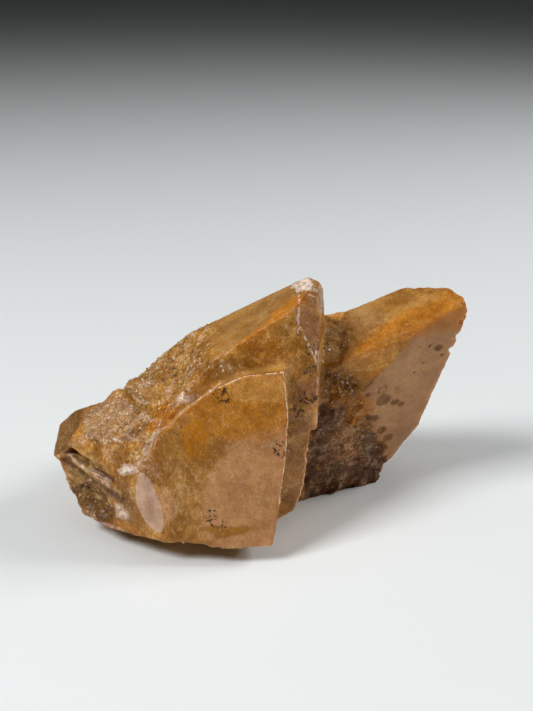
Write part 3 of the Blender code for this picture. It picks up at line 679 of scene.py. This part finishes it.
class Wire:
    """A socket of the finish's node tree; sums, products and powers of wires add Math nodes."""

    def __init__(self, tree, socket):
        self.tree = tree
        self.socket = socket

    def math(self, operation, *others, flip=False):
        parts = [self, *others]
        if flip:
            parts.reverse()
        return make(self.tree, "ShaderNodeMath", {"operation": operation}, dict(enumerate(parts)))

    def __add__(self, other):
        return self.math("ADD", other)

    __radd__ = __add__

    def __mul__(self, other):
        return self.math("MULTIPLY", other)

    __rmul__ = __mul__

    def __sub__(self, other):
        return self.math("SUBTRACT", other)

    def __rsub__(self, other):
        return self.math("SUBTRACT", other, flip=True)

    def __pow__(self, other):
        return self.math("POWER", other)

    def ramp(self, low, high, bottom=0.0, top=1.0):
        return make(
            self.tree,
            "ShaderNodeMapRange",
            {"interpolation_type": "SMOOTHSTEP"},
            {0: self, 1: low, 2: high, 3: bottom, 4: top},
        )


def make(tree, kind, settings=None, sockets=None, out=0):
    """Adds a node: its settings first, then the values or wires of its sockets."""
    made = tree.nodes.new(kind)
    for name, value in (settings or {}).items():
        setattr(made, name, value)
    for name, value in (sockets or {}).items():
        socket = made.inputs[name]
        if isinstance(value, Wire):
            tree.links.new(value.socket, socket)
        else:
            socket.default_value = value
    return Wire(tree, made.outputs[out])


def tinted(tree, share, first, second, blend="MIX"):
    """A colour between two colours, or wires of colour."""
    made = tree.nodes.new("ShaderNodeMix")
    made.data_type = "RGBA"
    made.blend_type = blend
    for number, value in ((0, share), (6, first), (7, second)):
        socket = made.inputs[number]
        if isinstance(value, Wire):
            tree.links.new(value.socket, socket)
        elif number == 0:
            socket.default_value = value
        else:
            socket.default_value = (*value, 1.0)
    return Wire(tree, made.outputs[2])


HONEY = (0.47, 0.225, 0.050)
UMBER = (0.33, 0.138, 0.020)
AMBER = (0.50, 0.180, 0.010)
DEEP = (0.33, 0.130, 0.010)
GOLD = (0.60, 0.290, 0.065)
BLUSH = (0.51, 0.255, 0.105)
MILK = (0.58, 0.38, 0.27)
OLIVE = (0.42, 0.25, 0.085)
SMOKE = (0.29, 0.165, 0.066)
CHALK = (0.88, 0.76, 0.64)
BROWN = (0.27, 0.100, 0.024)
MAUVE = (0.44, 0.26, 0.155)
BLACK = (0.035, 0.022, 0.014)
PIT_BROWN = (0.25, 0.092, 0.012)
STREAK = (0.62, 0.38, 0.17)
GLOW_REACH = (1.0, 0.38, 0.10)  # how much further red light goes in the stone than green and blue
GLOW_DEPTH = 5.0 * MM  # how far the red goes
GLOW_SHARE = 0.45
CALCITE_IOR = 1.5
POLISH = 0.22
BUMP_DEPTH = 0.25 * MM
BUMP_SHARE = 0.5
WARP_GRAIN = 1.5 * MM  # the size of the bends in the hairs, dots and branches
WARP = 1.6 * MM  # and how far they bend

calcite = bpy.data.materials.new("honey calcite")
calcite.use_nodes = True
tree = calcite.node_tree
shader = tree.nodes["Principled BSDF"]
place = make(tree, "ShaderNodeTexCoord", out=3)


def mask(name):
    return make(tree, "ShaderNodeAttribute", {"attribute_name": name}, out=2)


def cloud(grain, detail=3.0, rough=0.55, warp=0.0, stretch=None):
    """Noise whose lumps are about a grain of mm across, from about 0.3 to 0.7."""
    where = place
    if stretch:
        where = make(tree, "ShaderNodeMapping", None, {0: place, 2: stretch[0], 3: stretch[1]})
    return make(
        tree,
        "ShaderNodeTexNoise",
        None,
        {
            "Vector": where,
            "Scale": 1.0 / (grain * MM),
            "Detail": detail,
            "Roughness": rough,
            "Distortion": warp,
        },
    )


def cells(grain, feature="F1", where=place, out=0):
    """Cells a grain of mm across: the distance from middles or edges, or a chance colour."""
    return make(
        tree,
        "ShaderNodeTexVoronoi",
        {"feature": feature},
        {"Vector": where, "Scale": 1.0 / (grain * MM), "Randomness": 1.0},
        out,
    )


haze = cloud(8.0, 4.0, 0.6)
veil = cloud(2.2, 4.0, 0.65)
fleck = cloud(0.55, 3.0, 0.75)
ragged_edge = (veil - 0.5) * 0.9 + (fleck - 0.5) * 0.7


def torn(name, low=0.30, high=0.70, wear=0.55):
    """A mask whose rim is torn by the veils and flecks."""
    return (mask(name) + ragged_edge * wear).ramp(low, high) * mask(name).ramp(0.02, 0.2)


bends = make(
    tree,
    "ShaderNodeTexNoise",
    None,
    {"Vector": place, "Scale": 1.0 / WARP_GRAIN, "Detail": 3.0},
    out=1,
)
bent = make(
    tree,
    "ShaderNodeVectorMath",
    {"operation": "MULTIPLY_ADD"},
    {0: bends, 1: (WARP,) * 3, 2: place},
)
chance = make(tree, "ShaderNodeSeparateColor", None, {0: cells(0.62, out=1)})

patchy = 1.0 - mask("calm") * 0.6
colour = tinted(tree, 0.62 + (haze.ramp(0.40, 0.60) - 0.62) * patchy, UMBER, HONEY)
colour = tinted(tree, torn("smoke"), colour, SMOKE)
colour = tinted(tree, torn("blush", 0.2, 0.8, 0.35) * 0.92, colour, BLUSH)
colour = tinted(tree, torn("amber", 0.25, 0.85) * 0.95, colour, AMBER)
colour = tinted(tree, torn("deep", 0.20, 0.85, 0.6) * 0.9, colour, DEEP)
colour = tinted(tree, torn("gold", 0.25, 0.75, 0.7) * 0.85, colour, GOLD)
colour = tinted(tree, torn("olive", 0.2, 0.8, 0.4) * 0.8, colour, OLIVE)
colour = tinted(tree, torn("milk", 0.25, 0.65, 0.3) * 0.88, colour, MILK)
crusty = tinted(tree, cloud(5.0, 3.0, 0.5).ramp(0.45, 0.60) * 0.85, BROWN, MAUVE)
colour = tinted(tree, torn("dark", 0.25, 0.75, 0.8) * 0.95, colour, crusty)
colour = tinted(tree, torn("pits", 0.20, 0.60, 1.0) * 0.9, colour, PIT_BROWN)
flow = cloud(1.6, 3.0, 0.6, 1.2, ((0.0, 0.5, 0.0), (1.0, 1.0, 0.30)))
colour = tinted(tree, mask("streaked") * flow.ramp(0.50, 0.62) * 0.55, colour, STREAK)
scratches = cloud(0.32, 1.0, 0.5, 0.0, ((0.5, 0.3, 0.4), (1.0, 0.6, 0.22))).ramp(0.64, 0.70)
scratched = scratches * veil.ramp(0.46, 0.58) * (0.36 - mask("calm") * 0.30)
colour = tinted(tree, scratched, colour, CHALK)
hairs = cells(7.0, "DISTANCE_TO_EDGE", bent)
hairlines = hairs.ramp(0.012, 0.004) * veil.ramp(0.48, 0.56) * (0.13 - mask("grainy") * 0.13)
colour = tinted(tree, hairlines, colour, CHALK)

# Light and dark grains: a darker grain is also a redder one, as the light went further in it.
rough_share = 1.0 - mask("calm") * 0.75
veiled = 1.0 + (veil.ramp(0.30, 0.70) - 0.55) * rough_share * 0.36
shade = haze.ramp(0.30, 0.70, 0.84, 1.10) * veiled
shade = shade * (1.0 + (fleck.ramp(0.32, 0.68) - 0.5) * rough_share * 0.40)
shade = shade * (1.0 + (mask("grainy") * 0.50 + rough_share * 0.22) * (chance - 0.5))
# Painted shade in the hollows, grooves and cavity, with the darker tone of a few faces.
shade = shade * (1.0 - mask("shade_and_dark_tone") * 0.66)
tones = make(tree, "ShaderNodeCombineColor", None, {0: shade, 1: shade**1.25, 2: shade**1.5})
colour = tinted(tree, 1.0, colour, tones, "MULTIPLY")

# Painted glints: tiny pale dots, placed by the glint mask.
dots = cells(2.0, where=bent).ramp(0.24, 0.12) * cloud(3.0, 2.0).ramp(0.43, 0.52)
colour = tinted(tree, dots * mask("painted_glints") * 0.9, colour, CHALK)
rim = (mask("edge") * 3.0 + ragged_edge * 0.45).ramp(0.42, 0.16) * mask("frost")
colour = tinted(tree, rim * cloud(1.5, 4.0, 0.7).ramp(0.44, 0.56) * 0.85, colour, CHALK)
colour = tinted(tree, torn("chalk", 0.35, 0.65, 0.9) * 0.85, colour, CHALK)
branches = cells(1.9, "DISTANCE_TO_EDGE", bent).ramp(0.17, 0.06) * cloud(0.9, 2.0).ramp(0.47, 0.53)
colour = tinted(tree, branches * mask("moss").ramp(0.25, 0.6) * 0.92, colour, BLACK)

tree.links.new(colour.socket, shader.inputs["Base Color"])
gloss = cloud(1.6, 4.0, 0.7).ramp(0.35, 0.65, 0.20, 0.38)
gloss = gloss + mask("chalk") * 0.25 + mask("grainy") * 0.12
tree.links.new(gloss.socket, shader.inputs["Roughness"])
roughened = fleck * (0.12 + mask("grainy") * 0.9)
roughened = roughened + cloud(1.1, 3.0, 0.6) * (0.15 + mask("grainy")) + rim * 0.4
bump = make(
    tree,
    "ShaderNodeBump",
    None,
    {"Strength": BUMP_SHARE, "Distance": BUMP_DEPTH, "Height": roughened},
)
tree.links.new(bump.socket, shader.inputs["Normal"])
shader.inputs["IOR"].default_value = CALCITE_IOR
shader.inputs["Specular IOR Level"].default_value = POLISH
shader.inputs["Subsurface Weight"].default_value = GLOW_SHARE
shader.inputs["Subsurface Radius"].default_value = GLOW_REACH
shader.inputs["Subsurface Scale"].default_value = GLOW_DEPTH

skin.materials.clear()
skin.materials.append(calcite)
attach(stone, "root")
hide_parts("calcite_cluster")

# ---------------------------------------------------------------------------------------------
# The grains. Little calcite rhombs that grew on the crusts and stuck in the breaks, about half of
# each sunk in the stone, so only corners and glinting faces stand out. About a third of them are
# painted pale, as painted glints of the light on their faces.
# ---------------------------------------------------------------------------------------------
GRAINS_PER_SQUARE_M = 0.45e6  # where a crust is thickest
SMALLEST_GRAIN = 0.25 * MM
LARGEST_GRAIN = 0.65 * MM
LOWEST_GRAIN = 1.5 * MM  # none grows lower, so none reaches down through the table
GRAIN_SHINE = 0.18
GRAIN_SEED = 11
# Painted glints: this share of the grains is painted pale, standing in for light caught on their
# faces.
GLINTING_GRAINS = 0.35  # share of the grains that are clear and catch the light
RHOMB_LEAN = 0.42  # how far a rhomb's top leans over its foot, for a height of one


def named_inputs(group, wanted):
    """Adds the group's inputs and gives each one's socket identifier by its name."""
    group.interface.new_socket("Geometry", in_out="OUTPUT", socket_type="NodeSocketGeometry")
    found = {}
    for name, kind in wanted:
        found[name] = group.interface.new_socket(name, in_out="INPUT", socket_type=kind).identifier
    return found


growth = bpy.data.node_groups.new("grain growth", "GeometryNodeTree")
sockets = named_inputs(
    growth,
    [
        ("Crust", "NodeSocketGeometry"),
        ("Density", "NodeSocketFloat"),
        ("Smallest", "NodeSocketFloat"),
        ("Largest", "NodeSocketFloat"),
        ("Lean", "NodeSocketFloat"),
        ("Pale", "NodeSocketFloat"),
        ("Seed", "NodeSocketInt"),
        ("Finish", "NodeSocketMaterial"),
    ],
)
entry = growth.nodes.new("NodeGroupInput")
given = {name: Wire(growth, entry.outputs[name]) for name in sockets}
grainy_here = make(growth, "GeometryNodeInputNamedAttribute", {"data_type": "FLOAT"}, {0: "grainy"})
on_stone = make(growth, "GeometryNodeInputPosition")
height = make(growth, "ShaderNodeSeparateXYZ", None, {0: on_stone}, out=2)
off_table = make(
    growth, "ShaderNodeMath", {"operation": "GREATER_THAN"}, {0: height, 1: LOWEST_GRAIN}
)
thickness = given["Density"] * grainy_here**2.0 * off_table
scatter = make(
    growth,
    "GeometryNodeDistributePointsOnFaces",
    {"distribute_method": "RANDOM"},
    {"Mesh": given["Crust"], "Density": thickness, "Seed": given["Seed"]},
)
cube = make(growth, "GeometryNodeMeshCube", None, {"Size": (1.0, 1.0, 0.8)})
on_cube = make(growth, "GeometryNodeInputPosition")
rise = make(growth, "ShaderNodeSeparateXYZ", None, {0: on_cube}, out=2)
lean = make(
    growth,
    "ShaderNodeCombineXYZ",
    None,
    {0: rise * given["Lean"], 1: rise * given["Lean"] * 0.5},
)
rhomb = make(growth, "GeometryNodeSetPosition", None, {"Geometry": cube, "Offset": lean})
turn = make(
    growth,
    "FunctionNodeRandomValue",
    {"data_type": "FLOAT_VECTOR"},
    {0: (0.0, 0.0, 0.0), 1: (math.tau,) * 3, 8: 3},
)
size = make(
    growth,
    "FunctionNodeRandomValue",
    {"data_type": "FLOAT"},
    {2: given["Smallest"], 3: given["Largest"], 8: given["Seed"]},
    out=1,
)
grown = make(
    growth,
    "GeometryNodeInstanceOnPoints",
    None,
    {"Points": scatter, "Instance": rhomb, "Rotation": turn, "Scale": size},
)
pale_grain = make(
    growth,
    "FunctionNodeRandomValue",
    {"data_type": "FLOAT"},
    {2: 0.0, 3: 1.0, 8: given["Seed"] + 1.0},
    out=1,
)
clear = make(
    growth, "ShaderNodeMath", {"operation": "LESS_THAN"}, {0: pale_grain, 1: given["Pale"]}
)
marked = make(
    growth,
    "GeometryNodeStoreNamedAttribute",
    {"data_type": "FLOAT", "domain": "INSTANCE"},
    {"Geometry": grown, "Name": "clear", "Value": clear},
)
loose_grains = make(growth, "GeometryNodeRealizeInstances", None, {0: marked})
finished = make(
    growth,
    "GeometryNodeSetMaterial",
    None,
    {"Geometry": loose_grains, "Material": given["Finish"]},
)
leave = growth.nodes.new("NodeGroupOutput")
growth.links.new(finished.socket, leave.inputs[0])

grain_finish = bpy.data.materials.new("calcite grain")
grain_finish.use_nodes = True
tree = grain_finish.node_tree
shader = tree.nodes["Principled BSDF"]
GRAIN = (0.44, 0.235, 0.075)
DARK_GRAIN = (0.20, 0.095, 0.035)
PALE_GLINT = (0.80, 0.62, 0.42)
colour = tinted(tree, mask("dark"), GRAIN, DARK_GRAIN)
# Painted glints: about a third of the grains are painted pale, less so on the dark crusts, standing
# in for light caught on their faces.
colour = tinted(tree, mask("clear") * (0.75 - mask("dark") * 0.45), colour, PALE_GLINT)
tree.links.new(colour.socket, shader.inputs["Base Color"])
shader.inputs["Roughness"].default_value = GRAIN_SHINE
shader.inputs["IOR"].default_value = CALCITE_IOR

crust_copy = skin.copy()
grains_object = bpy.data.objects.new("calcite_grains", crust_copy)
bpy.context.scene.collection.objects.link(grains_object)
grow = grains_object.modifiers.new("grains", "NODES")
grow.node_group = growth
for name, value in (
    ("Density", GRAINS_PER_SQUARE_M),
    ("Smallest", SMALLEST_GRAIN),
    ("Largest", LARGEST_GRAIN),
    ("Lean", RHOMB_LEAN),
    ("Pale", GLINTING_GRAINS),
    ("Seed", GRAIN_SEED),
    ("Finish", grain_finish),
):
    grow[sockets[name]] = value
graph = bpy.context.evaluated_depsgraph_get()
grain_mesh = bpy.data.meshes.new_from_object(grains_object.evaluated_get(graph), depsgraph=graph)
grains_object.modifiers.clear()
grains_object.data = grain_mesh
bpy.data.meshes.remove(crust_copy)
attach(grains_object, "root")

# ---------------------------------------------------------------------------------------------
# The table: a plain pale painted top that the stone lies on loose. It is one flat sheet, wide
# enough to fill the view, and it isn't part of the specimen.
# ---------------------------------------------------------------------------------------------
TABLE_REACH = 6.0  # m from the middle to each side
TABLE_PAINT = (0.80, 0.83, 0.83, 1.0)
sheet = bmesh.new()
bmesh.ops.create_grid(sheet, x_segments=1, y_segments=1, size=TABLE_REACH)
table_mesh = bpy.data.meshes.new("table")
sheet.to_mesh(table_mesh)
sheet.free()
table = bpy.data.objects.new("table", table_mesh)
bpy.context.scene.collection.objects.link(table)
pale = bpy.data.materials.new("pale table")
pale.use_nodes = True
pale_shader = pale.node_tree.nodes["Principled BSDF"]
pale_shader.inputs["Base Color"].default_value = TABLE_PAINT
pale_shader.inputs["Roughness"].default_value = 0.6
table_mesh.materials.append(pale)

# ---------------------------------------------------------------------------------------------
# Studio light: a soft lamp high at the front left, a weaker one at the right and a little behind,
# a wide weak one overhead, and a faint even room. Each lamp hangs free and looks at the stone.
# ---------------------------------------------------------------------------------------------
AIM = Vector((0.0, 0.0, 30.0)) * MM
ROOM_COLOUR = (0.95, 0.97, 1.0, 1.0)
ROOM_LIGHT = 0.03


def lamp(name, spot, power, size):
    light = bpy.data.lights.new(name, "AREA")
    light.energy = power
    light.shape = "RECTANGLE"
    light.size = size[0]
    light.size_y = size[1]
    holder = bpy.data.objects.new(name, light)
    holder.location = spot
    holder.rotation_euler = (AIM - Vector(spot)).to_track_quat("-Z", "Y").to_euler()
    bpy.context.scene.collection.objects.link(holder)


lamp("window_lamp", (-0.631, -0.379, 0.847), 9.8, (0.36, 0.36))
lamp("ceiling_lamp", (-0.02, 0.09, 1.126), 2.0, (0.90, 0.90))
lamp("right_lamp", (0.887, 0.156, 0.661), 6.6, (0.40, 0.40))
room = bpy.data.worlds.new("room")
room.use_nodes = True
room.node_tree.nodes["Background"].inputs["Color"].default_value = ROOM_COLOUR
room.node_tree.nodes["Background"].inputs["Strength"].default_value = ROOM_LIGHT
bpy.context.scene.world = room
bpy.context.scene.view_settings.view_transform = "Standard"

# ---------------------------------------------------------------------------------------------
# The camera: a plain 50 mm lens in front of the stone and above it. It looks down on the stone
# and isn't turned to either side.
# ---------------------------------------------------------------------------------------------
LOOK_DOWN = 22.0  # degrees
LENS = 50.0  # mm
camera = bpy.data.objects.new("camera", bpy.data.cameras.new("camera"))
camera.data.lens = LENS
camera.data.sensor_width = 36.0
camera.data.clip_start = 0.01
camera.location = Vector((1.68, -266.84, 155.1)) * MM
camera.rotation_euler = (math.radians(90.0 - LOOK_DOWN), 0.0, 0.0)
bpy.context.scene.collection.objects.link(camera)
bpy.context.scene.camera = camera
